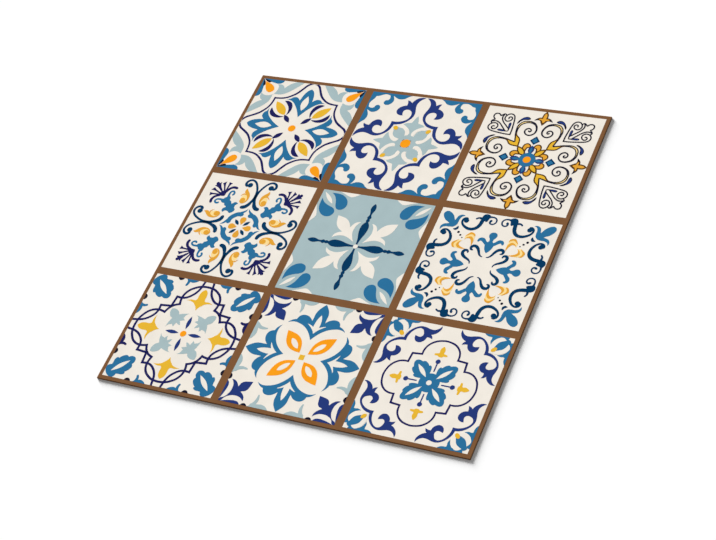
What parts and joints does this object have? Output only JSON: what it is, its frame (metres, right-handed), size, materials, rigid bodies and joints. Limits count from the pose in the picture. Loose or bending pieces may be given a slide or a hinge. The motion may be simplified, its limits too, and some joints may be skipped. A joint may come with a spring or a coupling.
{
  "type": "self-adhesive wall tile",
  "caption": "Thin square self-adhesive vinyl wall tile, its face printed as a grid of ornamental glazed-look tiles with brown grout lines; the flat back sticks to a wall.",
  "frame": {"origin": "centre of the adhesive back face", "axes": "+Z out of the printed face, +X to the right along the print, +Y towards the print's top edge"},
  "size_m": [0.3, 0.3, 0.0015],
  "materials": {
    "grout_vinyl": "satin",
    "cream_print": "satin",
    "pale_print": "satin",
    "blue_print": "satin",
    "navy_print": "satin",
    "ink_blue_print": "satin",
    "orange_print": "satin",
    "gold_print": "satin",
    "lemon_print": "satin",
    "amber_print": "satin",
    "indigo_print": "satin",
    "dark_line_print": "satin",
    "umber_print": "satin"
  },
  "bodies": {
    "root": {"tile_sheet": "grout_vinyl"}
  },
  "joints": []
}
